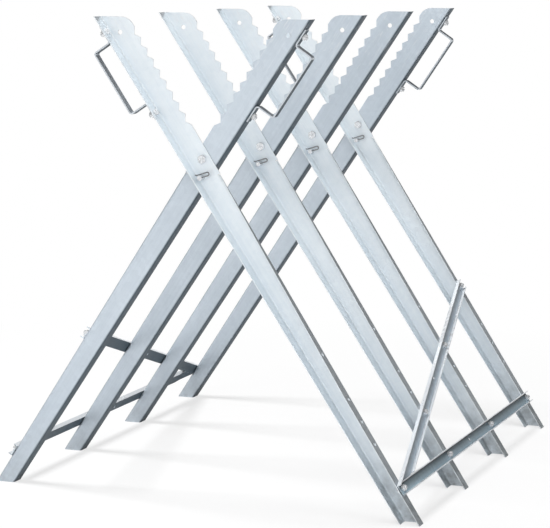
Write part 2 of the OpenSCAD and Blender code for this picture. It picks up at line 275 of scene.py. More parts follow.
class Board:
    """Node board of one material."""

    FACING = Span(0.5, 0.9)
    # Sockets of a Mix node that mixes colours
    MIX_INPUTS = (0, 6, 7)
    MIX_RESULT = 2

    def __init__(self, name: str) -> None:
        """Starts an empty board with a Principled surface.

        Args:
            name: name of the material.
        """
        self.material = bpy.data.materials.new(name)
        self.material.use_nodes = True
        self.tree = self.material.node_tree
        self.tree.nodes.clear()
        self.surface = self.node("ShaderNodeBsdfPrincipled")
        self.output = self.node("ShaderNodeOutputMaterial")
        self.feed(self.output.inputs["Surface"], self.surface.outputs[0])
        self.place = self.node("ShaderNodeTexCoord")

    def node(self, kind: str, **settings: str | bool) -> bpy.types.Node:
        """Adds a node.

        Args:
            kind: Blender's name of the node type.
            settings: properties of the node.

        Returns:
            The new node.
        """
        made = self.tree.nodes.new(kind)
        for key, value in settings.items():
            setattr(made, key, value)
        return made

    def feed(self, socket: Socket, value: Reading) -> None:
        """Links an output to a socket, or writes a number or colour on it.

        Args:
            socket: input to fill.
            value: output, number or colour.
        """
        if isinstance(value, Socket):
            self.tree.links.new(value, socket)
        elif isinstance(value, tuple) and socket.type == "RGBA":
            socket.default_value = (*value, 1.0)
        else:
            socket.default_value = value

    def math(self, op: Op, a: Reading, b: Reading = 0.0, clamp: bool = False) -> Socket:
        """Combines two readings.

        Args:
            op: way to combine them.
            a: first reading.
            b: second reading.
            clamp: keep the result from 0 to 1.

        Returns:
            The result's output.
        """
        made = self.node("ShaderNodeMath", operation=op.value, use_clamp=clamp)
        self.feed(made.inputs[0], a)
        self.feed(made.inputs[1], b)
        return made.outputs[0]

    def span(self, value: Reading, span: Span) -> Socket:
        """Maps a reading from one span to another, held at the ends.

        Args:
            value: reading to map.
            span: its span and the results at the ends.

        Returns:
            The mapped output.
        """
        made = self.node("ShaderNodeMapRange")
        numbers = (value, span.low, span.high, span.to_low, span.to_high)
        for socket, number in zip(made.inputs, numbers):
            self.feed(socket, number)
        return made.outputs[0]

    def mix(self, share: Reading, a: Reading, b: Reading, blend: Blend = Blend.MIX) -> Socket:
        """Mixes two colours.

        Args:
            share: how much of the second colour.
            a: first colour.
            b: second colour.
            blend: way to mix them.

        Returns:
            The mixed output.
        """
        made = self.node("ShaderNodeMix", data_type="RGBA", blend_type=blend.value)
        for index, reading in zip(self.MIX_INPUTS, (share, a, b)):
            self.feed(made.inputs[index], reading)
        return made.outputs[self.MIX_RESULT]

    def scaled(self, colour: Reading, gain: Reading) -> Socket:
        """Colour times a gain."""
        return self.mix(1.0, colour, gain, Blend.MULTIPLY)

    def laid(self, run: Vector, stretch: Triple = (1.0, 1.0, 1.0)) -> Socket:
        """Object coordinates turned so that z follows a piece's length.

        Args:
            run: direction of the length.
            stretch: scale on the turned axes.

        Returns:
            The coordinates' output.
        """
        turned = self.node("ShaderNodeMapping")
        self.feed(turned.inputs["Vector"], self.place.outputs["Object"])
        turned.inputs["Rotation"].default_value = run.rotation_difference(UP).to_euler()
        scaled = self.node("ShaderNodeMapping")
        self.feed(scaled.inputs["Vector"], turned.outputs[0])
        scaled.inputs["Scale"].default_value = stretch
        return scaled.outputs[0]

    def noise(self, where: Reading, noise: Noise) -> Socket:
        """Cloudy noise from 0 to 1.

        Args:
            where: coordinates.
            noise: its settings.

        Returns:
            The noise's output.
        """
        made = self.node("ShaderNodeTexNoise")
        self.feed(made.inputs["Vector"], where)
        made.inputs["Scale"].default_value = noise.scale
        made.inputs["Detail"].default_value = noise.detail
        made.inputs["Roughness"].default_value = noise.rough
        return made.outputs[0]

    def spangle(self, where: Reading, size: float) -> Socket:
        """Crystal flakes of a zinc coat, each with its own tone from 0 to 1.

        Args:
            where: coordinates.
            size: width of a flake.

        Returns:
            The tone's output.
        """
        made = self.node("ShaderNodeTexVoronoi")
        self.feed(made.inputs["Vector"], where)
        made.inputs["Scale"].default_value = 1.0 / size
        split = self.node("ShaderNodeSeparateColor")
        self.feed(split.inputs[0], made.outputs["Color"])
        return split.outputs[0]

    def reach(self, source: Source, direction: Vector) -> Socket:
        """Place or normal, measured along a direction.

        Args:
            source: which of the two.
            direction: unit direction.

        Returns:
            The measure's output.
        """
        made = self.node("ShaderNodeVectorMath", operation="DOT_PRODUCT")
        self.feed(made.inputs[0], self.place.outputs[source.value])
        made.inputs[1].default_value = direction
        return made.outputs["Value"]

    def level(self) -> Socket:
        """Height of a point above the floor, at rest."""
        return self.reach(Source.PLACE, UP)

    def facing(self, out: Vector) -> Socket:
        """Share of a face that looks in a direction."""
        return self.span(self.reach(Source.NORMAL, out), self.FACING)

    def carried(self, name: str) -> Socket:
        """Share that the mesh carries on its faces, such as the wear of rounded edges."""
        made = self.node("ShaderNodeAttribute", attribute_name=name)
        return made.outputs["Fac"]

    def bump(self, height: Reading, strength: float, depth: float) -> None:
        """Raises the surface by a height reading.

        Args:
            height: reading from 0 to 1.
            strength: share of the effect.
            depth: height of the relief.
        """
        made = self.node("ShaderNodeBump")
        made.inputs["Strength"].default_value = strength
        made.inputs["Distance"].default_value = depth
        self.feed(made.inputs["Height"], height)
        self.feed(self.surface.inputs["Normal"], made.outputs[0])


@dataclass(frozen=True)
class TroughShade:
    """Painted shade and light across the open side of a channel strip: darker under its upper lip
    and lighter at its lower one.
    """

    middle: Vector
    across: Vector
    out: Vector
    shade_gains: tuple[float, float]
    half: float = 10.25 * MM
    lip: float = 1.5 * MM
    rim_from: float = 1.3
    rim_wear_and_highlight: float = 0.9

    def offset(self, board: Board) -> Socket:
        """Distance above the strip's middle line."""
        reach = board.reach(Source.PLACE, self.across)
        return board.math(Op.SUBTRACT, reach, self.middle.dot(self.across))

    def shaded(self, board: Board, colour: Socket) -> Socket:
        """Paints shade under the upper lip and light at the lower one, across the open side.

        Args:
            board: board of the material.
            colour: colour of the coat.

        Returns:
            The graded output.
        """
        bed = self.half - self.lip
        # painted light and shade: lighter at the lower lip, darker under the upper one
        gain = board.span(self.offset(board), Span(-bed, bed, *self.shade_gains))
        return board.mix(board.facing(self.out), colour, board.scaled(colour, gain))

    def rims(self, board: Board) -> Socket:
        """Share of the lips' uncoated cut edges, which also carry a painted highlight.

        Args:
            board: board of the material.

        Returns:
            The share's output.
        """
        start, full = self.half - self.rim_from * self.lip, self.half - self.lip
        far = board.math(Op.ABSOLUTE, self.offset(board))
        # cut rims: partly wear and partly painted highlight
        edge = board.span(far, Span(start, full, 0.0, self.rim_wear_and_highlight))
        return board.math(Op.MULTIPLY, edge, board.facing(self.out))


@dataclass(frozen=True)
class OuterSideShade:
    """Painted shade on the outer faces of a half's legs, darker than the inside of their channels.
    """

    point: Vector
    out: Vector
    # painted shade: share of the colour that the outer faces keep
    gain: float = 0.62
    depth: float = 4 * MM

    def shaded(self, board: Board, colour: Socket) -> Socket:
        """Paints shade on the outer faces by darkening a colour.

        Args:
            board: board of the material.
            colour: colour of the coat.

        Returns:
            The dulled output.
        """
        reach = board.reach(Source.PLACE, self.out)
        near = board.math(Op.SUBTRACT, reach, self.point.dot(self.out))
        shell = board.span(near, Span(-self.depth, -self.depth / 2))
        share = board.math(Op.MULTIPLY, shell, board.facing(self.out))
        return board.mix(share, colour, board.scaled(colour, (self.gain, self.gain, self.gain)))


@dataclass(frozen=True)
class Grain:
    """Patterns that the layers of a zinc coat share."""

    along: Socket
    flake: Socket
    cloud: Socket
    lines: Socket
    spots: Socket


@dataclass(frozen=True)
class ZincFinish:
    """Galvanised sheet or strip: flakes, rolling lines, painted shade on downward faces and towards
    the feet, grime, wear and painted highlights.
    """

    name: str
    run: Vector
    pale: Colour = (0.70, 0.745, 0.79)
    dull: Colour = (0.55, 0.60, 0.65)
    # painted shade: colour of the faces that look downwards
    under: Colour = (0.078, 0.104, 0.126)
    grime: Colour = (0.22, 0.235, 0.24)
    bare_and_highlight: Colour = (0.82, 0.845, 0.87)
    metallic: float = 0.5
    specular: float = 0.5
    # painted shade: specular level of the faces that look downwards
    underside_shade_specular: float = 0.04
    sheen: tuple[float, float] = (0.32, 0.44)
    grime_matt: float = 0.25
    bare_and_highlight_gloss: float = 0.10
    flake: float = 7 * MM
    cloud: Noise = Noise(6.0, 4.0, 0.55)
    lines: Noise = Noise(1.0, 3.0)
    line_stretch: Triple = (260.0, 260.0, 3.0)
    spots: Noise = Noise(55.0, 3.0, 0.6)
    nicks: Noise = Noise(1.0)
    nick_stretch: Triple = (420.0, 420.0, 45.0)
    dents: Noise = Noise(16.0, 1.0)
    cloud_tone: Span = Span(0.3, 0.7, 0.0, 0.46)
    line_tone: Span = Span(0.3, 0.7, 0.0, 0.30)
    flake_tone: Span = Span(0.0, 1.0, 0.0, 0.24)
    # painted shade: how much the tone darkens towards the feet
    fade: float = 0.0
    fade_zone: tuple[float, float] = (0.05, 0.50)
    # painted shade: how far a face must look downwards to take the dark colour
    underside_shade_span: Span = Span(-0.45, -0.10, 1.0, 0.0)
    foot_reach: float = 0.16
    foot_curve: float = 1.6
    grime_and_shade_zone: tuple[float, float] = (0.30, 0.70)
    least_soil: float = 0.10
    # grime at the feet, set per half partly as painted shade
    foot_grime_and_shade: float = 0.55
    jaw_wear: Span = Span(0.60, 0.80, 0.0, 0.5)
    nick_share: Span = Span(0.60, 0.70)
    edge_share: Span = Span(0.32, 0.62, 0.45, 0.75)
    # painted highlight: faces that look upwards, such as the lips' tops, take the light metal
    # colour
    wiped: bool = False
    wiped_share: Span = Span(0.25, 0.75, 0.7, 1.0)
    flake_relief: float = 0.25
    line_relief: float = 0.30
    dent_relief: float = 0.8
    relief: tuple[float, float] = (0.10, 0.4 * MM)
    # painted shade on the legs' outer faces, or painted shade and light across a channel's open
    # side
    side: TroughShade | OuterSideShade | None = None

    def grain(self, board: Board) -> Grain:
        """Lays the coat's patterns along the piece.

        Args:
            board: board of the material.

        Returns:
            The patterns' outputs.
        """
        along = board.laid(self.run)
        return Grain(
            along,
            board.spangle(along, self.flake),
            board.noise(along, self.cloud),
            board.noise(board.laid(self.run, self.line_stretch), self.lines),
            board.noise(along, self.spots),
        )

    def tone(self, board: Board, grain: Grain) -> Socket:
        """Tone of the coat, with painted shade that darkens it towards the feet.

        Args:
            board: board of the material.
            grain: patterns of the coat.

        Returns:
            An output from 0 for dull to 1 for pale.
        """
        clouds = board.span(grain.cloud, self.cloud_tone)
        lines = board.span(grain.lines, self.line_tone)
        # painted shade: darker towards the feet
        fade = board.span(board.level(), Span(*self.fade_zone, -self.fade, 0.0))
        tone = board.math(Op.ADD, board.math(Op.ADD, clouds, lines), fade)
        return board.math(Op.ADD, tone, board.span(grain.flake, self.flake_tone), clamp=True)

    def grime_and_shade(self, board: Board, grain: Grain) -> Socket:
        """Share of the grime, which gathers at the feet and also paints shade there.

        Args:
            board: board of the material.
            grain: patterns of the coat.

        Returns:
            The share's output.
        """
        low = board.span(board.level(), Span(0.0, self.foot_reach, 1.0, 0.0))
        patches = board.span(grain.spots, Span(*self.grime_and_shade_zone, self.least_soil, self.foot_grime_and_shade))
        return board.math(Op.MULTIPLY, board.math(Op.POWER, low, self.foot_curve), patches)

    def wear(self, board: Board, grain: Grain) -> Socket:
        """Share of the light metal colour: nicked jaws and worn edges, painted highlights on upward
        faces, and cut rims that are partly wear and partly painted highlight.

        Args:
            board: board of the material.
            grain: patterns of the coat.

        Returns:
            The share's output.
        """
        nick = board.noise(board.laid(self.run, self.nick_stretch), self.nicks)
        jaws = board.span(board.level(), self.jaw_wear)
        rubbed = board.math(Op.MULTIPLY, jaws, board.span(nick, self.nick_share))
        edges = board.span(grain.spots, self.edge_share)
        edges = board.math(Op.MULTIPLY, board.carried("worn_edge"), edges)
        wear_and_highlight = board.math(Op.MAXIMUM, rubbed, edges)
        # painted highlight on the faces that look upwards
        if self.wiped:
            lips = board.span(grain.cloud, self.wiped_share)
            lips = board.math(Op.MULTIPLY, board.carried("up_face"), lips)
            wear_and_highlight = board.math(Op.MAXIMUM, wear_and_highlight, lips)
        # cut rims: partly wear and partly painted highlight
        if isinstance(self.side, TroughShade):
            wear_and_highlight = board.math(Op.MAXIMUM, wear_and_highlight, self.side.rims(board))
        return wear_and_highlight

    def raised(self, board: Board, grain: Grain) -> None:
        """Raises the flakes, the rolling lines and soft dents a little.

        Args:
            board: board of the material.
            grain: patterns of the coat.
        """
        flakes = board.math(Op.MULTIPLY, grain.flake, self.flake_relief)
        lines = board.math(Op.MULTIPLY, grain.lines, self.line_relief)
        dents = board.math(Op.MULTIPLY, board.noise(grain.along, self.dents), self.dent_relief)
        height = board.math(Op.ADD, board.math(Op.ADD, flakes, lines), dents)
        board.bump(height, *self.relief)

    def material(self) -> Material:
        """Builds the finish's node material.

        Returns:
            The new material.
        """
        board = Board(self.name)
        sockets = board.surface.inputs
        grain = self.grain(board)
        tone, grime_and_shade = self.tone(board, grain), self.grime_and_shade(board, grain)
        wear_and_highlight = self.wear(board, grain)
        # painted shade: faces that look downwards turn dark
        underside_shade = board.span(board.reach(Source.NORMAL, UP), self.underside_shade_span)
        colour = board.mix(tone, self.dull, self.pale)
        # painted shade on the legs' outer faces, or painted shade and light across a channel's open
        # side
        if self.side:
            colour = self.side.shaded(board, colour)
        # layers: painted shade on downward faces, grime that also paints shade at the feet, and
        # worn metal with painted highlights
        for share, layer in ((underside_shade, self.under), (grime_and_shade, self.grime), (wear_and_highlight, self.bare_and_highlight)):
            colour = board.mix(share, colour, layer)
        gloss, matt = self.sheen
        rough = board.span(tone, Span(0.0, 1.0, matt, gloss))
        rough = board.math(Op.ADD, rough, board.math(Op.MULTIPLY, grime_and_shade, self.grime_matt))
        shine = board.math(Op.MULTIPLY, wear_and_highlight, self.bare_and_highlight_gloss)
        rough = board.math(Op.SUBTRACT, rough, shine, clamp=True)
        # painted shade: faces that look downwards lose metal and specular
        metal = board.span(underside_shade, Span(0.0, 1.0, self.metallic, 0.0))
        mirror = board.span(underside_shade, Span(0.0, 1.0, self.specular, self.underside_shade_specular))
        board.feed(sockets["Base Color"], colour)
        board.feed(sockets["Roughness"], rough)
        board.feed(sockets["Metallic"], metal)
        board.feed(sockets["Specular IOR Level"], mirror)
        self.raised(board, grain)
        return board.material


@dataclass(frozen=True)
class PlatedFinish:
    """Bright zinc plate on fasteners: tool marks, dull spots and rubbed corners."""

    name: str
    light: Colour = (0.90, 0.91, 0.92)
    dark: Colour = (0.66, 0.68, 0.70)
    rubbed: Colour = (0.88, 0.89, 0.90)
    rubbed_share: float = 0.6
    metallic: float = 0.45
    sheen: tuple[float, float] = (0.18, 0.36)
    spots: Noise = Noise(420.0, 3.0, 0.6)
    spot_tone: Span = Span(0.30, 0.62)
    marks: Noise = Noise(1600.0)
    relief: tuple[float, float] = (0.15, 0.1 * MM)

    def material(self) -> Material:
        """Builds the finish's node material.

        Returns:
            The new material.
        """
        board = Board(self.name)
        where, sockets = board.place.outputs["Object"], board.surface.inputs
        tone = board.span(board.noise(where, self.spots), self.spot_tone)
        edge = board.math(Op.MULTIPLY, board.carried("worn_edge"), self.rubbed_share)
        colour = board.mix(edge, board.mix(tone, self.dark, self.light), self.rubbed)
        gloss, matt = self.sheen
        board.feed(sockets["Base Color"], colour)
        board.feed(sockets["Roughness"], board.span(tone, Span(0.0, 1.0, matt, gloss)))
        sockets["Metallic"].default_value = self.metallic
        board.bump(board.noise(where, self.marks), *self.relief)
        return board.material


@dataclass(frozen=True)
class WireFinish:
    """Dark spring wire: drawing lines, brown flecks and a faint oil sheen."""

    name: str
    light: Colour = (0.40, 0.41, 0.42)
    dark: Colour = (0.14, 0.145, 0.15)
    fleck: Colour = (0.20, 0.14, 0.10)
    metallic: float = 0.8
    drawn: Noise = Noise(700.0, 3.0, 0.65)
    drawn_tone: Span = Span(0.3, 0.7)
    drawn_matt: Span = Span(0.2, 0.8, 0.28, 0.5)
    flecks: Noise = Noise(260.0)
    fleck_share: Span = Span(0.60, 0.70, 0.0, 0.7)
    relief: tuple[float, float] = (0.12, 0.1 * MM)

    def material(self) -> Material:
        """Builds the finish's node material.

        Returns:
            The new material.
        """
        board = Board(self.name)
        where, sockets = board.place.outputs["Object"], board.surface.inputs
        drawn = board.noise(where, self.drawn)
        colour = board.mix(board.span(drawn, self.drawn_tone), self.dark, self.light)
        rust = board.span(board.noise(where, self.flecks), self.fleck_share)
        board.feed(sockets["Base Color"], board.mix(rust, colour, self.fleck))
        board.feed(sockets["Roughness"], board.span(drawn, self.drawn_matt))
        sockets["Metallic"].default_value = self.metallic
        board.bump(drawn, *self.relief)
        return board.material


def once(items: Iterable[Element]) -> list[Element]:
    """Elements of a mesh without repeats, in their order."""
    return list(dict.fromkeys(items))


def only(kind: type[Element], geom: list) -> list[Element]:
    """Elements of one kind in an operator's result."""
    return [item for item in geom if isinstance(item, kind)]


def open_edges(mesh: Mesh) -> int:
    """Counts the edges that lack a face on either side.

    Args:
        mesh: mesh of a piece.

    Returns:
        The number of open edges.
    """
    bm = bmesh.new()
    bm.from_mesh(mesh)
    count = sum(not edge.is_manifold for edge in bm.edges)
    bm.free()
    return count


@dataclass(frozen=True)
class Bend:
    """A bend of a wire."""

    radius: float
    angle: float
    steps: int


class Shape:
    """A mesh in the making, worked with bmesh operators."""

    WELD = 0.0005 * MM
    CREASE = math.radians(35)
    # Softened solids
    SOLID_WELD = 0.002 * MM
    FLAT = math.radians(0.5)
    SHARP = math.radians(40)
    UPWARD = 0.7
    # Hexagons: points round, share and slope of the crown, and countersink of the bore
    HEX_POINTS = 36
    CROWN = 0.95
    CROWN_SLOPE = math.tan(math.radians(30))
    CROWN_INSET = 0.3 * MM
    CROWN_WEAR = 0.7
    SINK = 0.4 * MM
    SINK_INSET = 0.1 * MM
    # Threads, in parts of the pitch: depth, flat crest and chamfer of the tip
    THREAD_DEPTH = 0.6
    CREST = (0.40, 0.60)
    TIP = 0.5
    THREAD_STEPS = 18
    SPARE_TURNS = 2
    THREAD_WELD = 0.01 * MM
    CUT_LIMIT = 1e-9
    # Wires: points round, and steps and radii of a rounded end in parts of the radius
    WIRE_SIDES = 14
    END_STEPS = (0.30, 0.35)
    END_RADII = (0.55, 0.85)

    def __init__(self) -> None:
        """Starts an empty mesh that carries a wear attribute on its faces."""
        self.bm = bmesh.new()
        self.wear = self.bm.faces.layers.float.new("worn_edge")

    def lathe(self, profile: list[tuple[float, float]], steps: int) -> None:
        """Spins a closed profile about z.

        Args:
            profile: points of radius and height, in order.
            steps: parts of the full turn.
        """
        verts = [self.bm.verts.new((r, 0.0, z)) for r, z in profile]
        edges = [self.bm.edges.new(pair) for pair in zip(verts, verts[1:] + verts[:1])]
        bmesh.ops.spin(
            self.bm, geom=verts + edges, cent=(0, 0, 0), axis=(0, 0, 1), dvec=(0, 0, 0),
            angle=math.tau, steps=steps, use_merge=True,
        )

    def crown(self, face: Face, height: float, flats: float, up: float) -> Face:
        """Chamfers one end of a hexagon to a round crown.

        Args:
            face: end face, with its points spread along the flats.
            height: height of the end.
            flats: width across the flats.
            up: 1 for the upper end and -1 for the lower one.

        Returns:
            The round face inside the crown.
        """
        round_r = flats / 2 * self.CROWN
        for vert in face.verts:
            vert.co.z = height - up * (vert.co.xy.length - round_r) * self.CROWN_SLOPE
        bmesh.ops.inset_region(
            self.bm, faces=[face], thickness=self.CROWN_INSET, use_even_offset=True,
        )
        for vert in face.verts:
            vert.co = (*(vert.co.xy.normalized() * round_r), height)
        for edge in face.edges:
            for near in edge.link_faces:
                if near is not face:
                    near[self.wear] = self.CROWN_WEAR
        return face

    def opened(self, face: Face, height: float, bore: float, up: float) -> list[Edge]:
        """Opens a bore with a small countersink in an end face.

        Args:
            face: round end face.
            height: height of the end.
            bore: radius of the hole.
            up: 1 for the upper end and -1 for the lower one.

        Returns:
            The edges of the open ring.
        """
        for radius, level in ((bore + self.SINK, height), (bore, height - up * self.SINK)):
            bmesh.ops.inset_region(
                self.bm, faces=[face], thickness=self.SINK_INSET, use_even_offset=True,
            )
            for vert in face.verts:
                vert.co = (*(vert.co.xy.normalized() * radius), level)
        ring = list(face.edges)
        bmesh.ops.delete(self.bm, geom=[face], context="FACES_ONLY")
        return ring

    def hexagon(self, flats: float, low: float, high: float, bore: float = 0.0) -> None:
        """Chamfered hexagon along z, solid or with a bore.

        Args:
            flats: width across the flats.
            low: height of its lower end.
            high: height of its upper end.
            bore: radius of the hole, or 0.
        """
        start = bmesh.ops.create_circle(
            self.bm, cap_ends=True, segments=self.HEX_POINTS, radius=flats / 2,
            matrix=Matrix.Translation((0, 0, low)),
        )
        sixth = math.pi / 3
        for vert in start["verts"]:
            turn = math.atan2(vert.co.y, vert.co.x) % sixth
            vert.co.xy = vert.co.xy / max(math.cos(turn), math.cos(sixth - turn))
        base = start["verts"][0].link_faces[0]
        grown = bmesh.ops.extrude_face_region(self.bm, geom=[base], use_keep_orig=True)["geom"]
        bmesh.ops.translate(self.bm, verts=only(Vert, grown), vec=(0, 0, high - low))
        upper = self.crown(only(Face, grown)[0], high, flats, 1)
        lower = self.crown(base, low, flats, -1)
        if bore > 0:
            rings = self.opened(upper, high, bore, 1) + self.opened(lower, low, bore, -1)
            bmesh.ops.bridge_loops(self.bm, edges=rings)

    def thread(self, radius: float, low: float, high: float, pitch: float) -> None:
        """Threaded rod along z with a chamfered tip.

        Args:
            radius: outer radius of the thread.
            low: height of its hidden end.
            high: height of its tip.
            pitch: rise of a turn.
        """
        root, chamfer = radius - self.THREAD_DEPTH * pitch, self.TIP * pitch
        crest_from, crest_to = self.CREST
        turns = math.ceil((high - low) / pitch) + self.SPARE_TURNS
        profile = [(root, 0.0), (radius, crest_from), (radius, crest_to), (root, 1.0)]
        verts = [self.bm.verts.new((r, 0.0, low - pitch + h * pitch)) for r, h in profile]
        edges = [self.bm.edges.new(pair) for pair in zip(verts, verts[1:])]
        before = set(self.bm.verts) - set(verts)
        bmesh.ops.spin(
            self.bm, geom=verts + edges, cent=(0, 0, 0), axis=(0, 0, 1),
            dvec=(0, 0, pitch / self.THREAD_STEPS),
            angle=math.tau * turns, steps=self.THREAD_STEPS * turns,
        )
        fresh = [v for v in self.bm.verts if v not in before]
        bmesh.ops.remove_doubles(self.bm, verts=fresh, dist=self.THREAD_WELD)
        for level, up in ((low, -1), (high - chamfer, 1)):
            fresh = [v for v in self.bm.verts if v not in before]
            whole = fresh + once(e for v in fresh for e in v.link_edges)
            whole += once(f for v in fresh for f in v.link_faces)
            cut = bmesh.ops.bisect_plane(
                self.bm, geom=whole, plane_co=(0, 0, level), plane_no=(0, 0, up),
                clear_outer=True, dist=self.CUT_LIMIT,
            )
            rim = only(Edge, cut["geom_cut"])
            cap = bmesh.ops.holes_fill(self.bm, edges=rim)["faces"]
            if up > 0 and cap:
                bmesh.ops.inset_region(self.bm, faces=cap, thickness=chamfer, depth=chamfer)

    def wire(self, start: Matrix, radius: float, moves: list[Bend | float]) -> None:
        """Round wire drawn along straight runs and bends, with rounded ends.

        Args:
            start: frame of the first end, its z along the wire.
            radius: radius of the wire.
            moves: lengths of straight runs, and bends.
        """
        tip, shoulder = self.END_RADII
        tip_step, shoulder_step = (step * radius for step in self.END_STEPS)
        made = bmesh.ops.create_circle(
            self.bm, segments=self.WIRE_SIDES, radius=radius * tip, matrix=start,
        )
        first = once(e for v in made["verts"] for e in v.link_edges)
        heading = start.copy()
        ring = self.drawn(first, heading, tip_step, shoulder / tip)
        ring = self.drawn(ring, heading, shoulder_step, 1.0 / shoulder)
        for move in moves:
            if isinstance(move, Bend):
                centre = heading @ Vector((move.radius, 0, 0))
                axis = heading.to_3x3() @ Vector((0, 1, 0))
                spun = bmesh.ops.spin(
                    self.bm, geom=once(v for e in ring for v in e.verts) + ring, cent=centre,
                    axis=axis, dvec=(0, 0, 0), angle=move.angle, steps=move.steps,
                )
                ring = only(Edge, spun["geom_last"])
                turn = Matrix.Rotation(move.angle, 4, axis)
                heading = Matrix.Translation(centre) @ turn @ Matrix.Translation(-centre) @ heading
            else:
                ring = self.drawn(ring, heading, move)
        ring = self.drawn(ring, heading, shoulder_step, shoulder)
        ring = self.drawn(ring, heading, tip_step, tip / shoulder)
        for rim in (first, ring):
            bmesh.ops.holes_fill(self.bm, edges=rim)

    def drawn(
        self, ring: list[Edge], heading: Matrix, step: float, grow: float = 1.0,
    ) -> list[Edge]:
        """Draws a ring of edges onwards along its heading.

        Args:
            ring: edges of the open end.
            heading: frame of the end, moved on with it.
            step: length of the run.
            grow: scale of the ring at its new place.

        Returns:
            The edges of the new end.
        """
        verts = only(Vert, bmesh.ops.extrude_edge_only(self.bm, edges=ring)["geom"])
        heading @= Matrix.Translation((0, 0, step))
        forward = heading.to_3x3() @ Vector((0, 0, step))
        bmesh.ops.translate(self.bm, verts=verts, vec=forward)
        centred = Matrix.Translation(-heading.translation)
        bmesh.ops.scale(self.bm, verts=verts, vec=(grow, grow, grow), space=centred)
        fresh = set(verts)
        return once(e for v in verts for e in v.link_edges if e.other_vert(v) in fresh)

    def softened(self, node: bpy.types.Object, width: float) -> None:
        """Takes a solid's mesh, rounds its sharp edges a little and marks its upward faces.

        Args:
            node: object of the solid.
            width: width of the rounding.
        """
        layers = self.bm.faces.layers.float
        self.bm.from_mesh(node.data)
        self.wear = layers.get("worn_edge") or layers.new("worn_edge")
        bmesh.ops.remove_doubles(self.bm, verts=self.bm.verts, dist=self.SOLID_WELD)
        bmesh.ops.dissolve_limit(
            self.bm, angle_limit=self.FLAT, verts=self.bm.verts, edges=self.bm.edges,
        )
        edges = [e for e in self.bm.edges if e.is_manifold and e.calc_face_angle() > self.SHARP]
        made = bmesh.ops.bevel(
            self.bm, geom=edges, offset=width, offset_type="OFFSET", segments=2, profile=0.5,
            affect="EDGES", material=-1, clamp_overlap=False,
        )
        for face in made["faces"]:
            face[self.wear] = 1.0
        upward = layers.new("up_face")
        self.bm.normal_update()
        for face in self.bm.faces:
            face[upward] = 1.0 if face.normal.z > self.UPWARD else 0.0

    def mesh(self, name: str) -> Mesh:
        """Welds and closes the work.

        Args:
            name: name of the mesh.

        Returns:
            The finished mesh.
        """
        bmesh.ops.remove_doubles(self.bm, verts=self.bm.verts, dist=self.WELD)
        bmesh.ops.recalc_face_normals(self.bm, faces=self.bm.faces)
        for face in self.bm.faces:
            face.smooth = True
        for edge in self.bm.edges:
            edge.smooth = not edge.is_manifold or edge.calc_face_angle() < self.CREASE
        made = bpy.data.meshes.new(name)
        self.bm.to_mesh(made)
        self.bm.free()
        return made


class Workshop:
    """Links finished meshes as pieces of the stand."""

    def __init__(self, nodes: dict[str, bpy.types.Object]) -> None:
        """Keeps the solids' objects.

        Args:
            nodes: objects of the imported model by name.
        """
        self.nodes = nodes

    def place(self, name: str, parts: Parts, look: Material) -> bpy.types.Object:
        """Makes a piece of one or more meshes set at their places.

        Args:
            name: name of the piece.
            parts: finished meshes and where they go.
            look: its material.

        Returns:
            The new object.
        """
        bm = bmesh.new()
        for mesh, spot in parts:
            first = len(bm.verts)
            bm.from_mesh(mesh)
            bm.verts.ensure_lookup_table()
            bmesh.ops.transform(bm, matrix=spot, verts=bm.verts[first:])
        whole = bpy.data.meshes.new(name)
        bm.to_mesh(whole)
        bm.free()
        whole.materials.append(look)
        made = bpy.data.objects.new(name, whole)
        bpy.context.scene.collection.objects.link(made)
        even = made.modifiers.new("even_normals", "WEIGHTED_NORMAL")
        even.keep_sharp = True
        return made

    def fit(self, piece: bpy.types.Object, node: str, body: str) -> None:
        """Puts a piece in a solid's stead and reports it.

        Args:
            piece: the piece.
            node: the solid that it stands for.
            body: the body that it rides on.
        """
        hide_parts(node)
        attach(piece, body)
        low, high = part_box(node)
        spread = list(zip(*(vert.co for vert in piece.data.vertices)))
        gaps = [abs(min(axis) - end) for axis, end in zip(spread, low)]
        gaps += [abs(max(axis) - end) for axis, end in zip(spread, high)]
        LOG.info(
            "%s for %s: %d faces, %d open edges, box within %.2f mm",
            piece.name, node, len(piece.data.polygons), open_edges(piece.data), max(gaps) / MM,
        )


@dataclass(frozen=True)
class ChannelCoat:
    """Tones of a channel strip, and how much painted light lifts its coat at the lower lip and
    painted shade darkens it at the upper one.
    """

    pale: Colour
    dull: Colour
    shade_gains: tuple[float, float]
    specular: float
    metallic: float = 0.2
    foot_reach: float = 0.01


